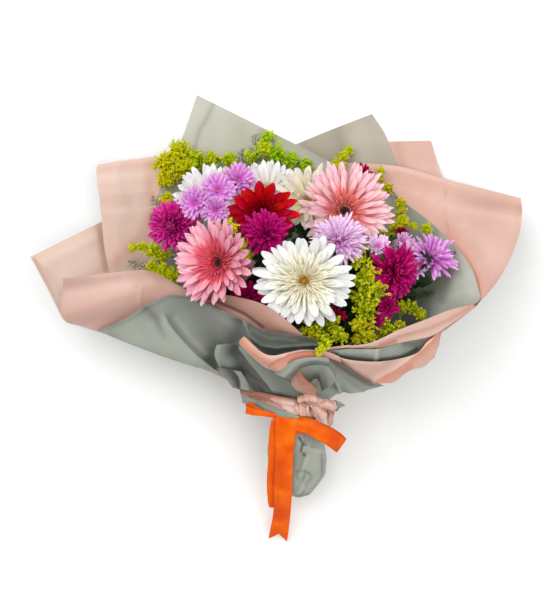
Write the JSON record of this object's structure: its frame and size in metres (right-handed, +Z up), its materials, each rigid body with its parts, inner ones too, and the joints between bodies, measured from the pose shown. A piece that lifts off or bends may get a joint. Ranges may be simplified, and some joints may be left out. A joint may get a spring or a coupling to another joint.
{
  "type": "wrapped flower bouquet",
  "caption": "Mixed bouquet of gerberas, chrysanthemums, goldenrod and fern in two-tone paper wrap tied with a satin ribbon, lying on its back.",
  "frame": {"origin": "middle of the bounding box's underside, on the surface the bouquet lies on", "axes": "+Z up, away from that surface; +Y from the handle towards the flowers; +X to the right as seen from above with the handle nearest"},
  "size_m": [0.5572, 0.5264, 0.214],
  "materials": {
    "fern_green": "matte",
    "paper_peach": "matte",
    "paper_sage": "matte",
    "petals_blush": "matte",
    "petals_crimson": "matte",
    "petals_lilac": "matte",
    "petals_magenta": "matte",
    "petals_pink": "matte",
    "petals_red": "matte",
    "petals_white": "matte",
    "ribbon_satin": "satin",
    "solidago_yellow": "matte",
    "tie_twine": "matte"
  },
  "bodies": {
    "root": {"wrap_back_left_sage": "paper_sage", "wrap_back_mid_sage": "paper_sage", "wrap_back_right_peach": "paper_peach", "wrap_left_upper_peach": "paper_peach", "wrap_left_lower_peach": "paper_peach", "wrap_right_peach": "paper_peach", "wrap_right_sage_liner": "paper_sage", "wrap_front_left_peach": "paper_peach", "wrap_front_left_sage": "paper_sage", "wrap_front_mid_sage": "paper_sage", "wrap_front_right_lip": "paper_peach", "wrap_front_right_sage": "paper_sage", "wrap_front_right_peach": "paper_peach", "wrap_front_pleat_peach": "paper_peach", "wrap_front_flap_sage": "paper_sage", "wrap_front_roll_sage": "paper_sage", "wrap_front_right_cone_sage": "paper_sage", "wrap_collar": "paper_sage", "wrap_collar_peach": "paper_peach", "wrap_ruffle": "paper_peach", "stem_tie": "tie_twine", "handle_wrap": "paper_sage", "ribbon_band": "ribbon_satin", "ribbon_knot": "ribbon_satin", "ribbon_tail_long": "ribbon_satin", "ribbon_tail_short": "ribbon_satin", "ribbon_loop_right": "ribbon_satin", "ribbon_loop_left": "ribbon_satin", "gerbera_white_front": "petals_white", "gerbera_pink_left": "petals_pink", "gerbera_pink_right": "petals_pink", "gerbera_red": "petals_red", "gerbera_white_back_left": "petals_white", "gerbera_white_back_mid": "petals_white", "gerbera_white_back_right": "petals_white", "chrysanthemum_magenta_left": "petals_magenta", "chrysanthemum_magenta_mid": "petals_magenta", "chrysanthemum_magenta_right": "petals_magenta", "chrysanthemum_magenta_low": "petals_magenta", "chrysanthemum_crimson_low": "petals_crimson", "chrysanthemum_crimson_back": "petals_crimson", "chrysanthemum_lilac_left": "petals_lilac", "chrysanthemum_lilac_mid": "petals_lilac", "chrysanthemum_lilac_small": "petals_lilac", "chrysanthemum_lilac_right": "petals_lilac", "chrysanthemum_lilac_back": "petals_lilac", "chrysanthemum_blush": "petals_blush", "solidago_back_left": "solidago_yellow", "solidago_back_mid": "solidago_yellow", "solidago_back_right": "solidago_yellow", "solidago_right_tip": "solidago_yellow", "solidago_left_low": "solidago_yellow", "solidago_right_mid": "solidago_yellow", "solidago_mid_right": "solidago_yellow", "solidago_front": "solidago_yellow", "solidago_right_low": "solidago_yellow", "solidago_mid_left": "solidago_yellow", "asparagus_fern_left": "fern_green", "asparagus_fern_back": "fern_green", "asparagus_fern_right": "fern_green"}
  },
  "joints": []
}
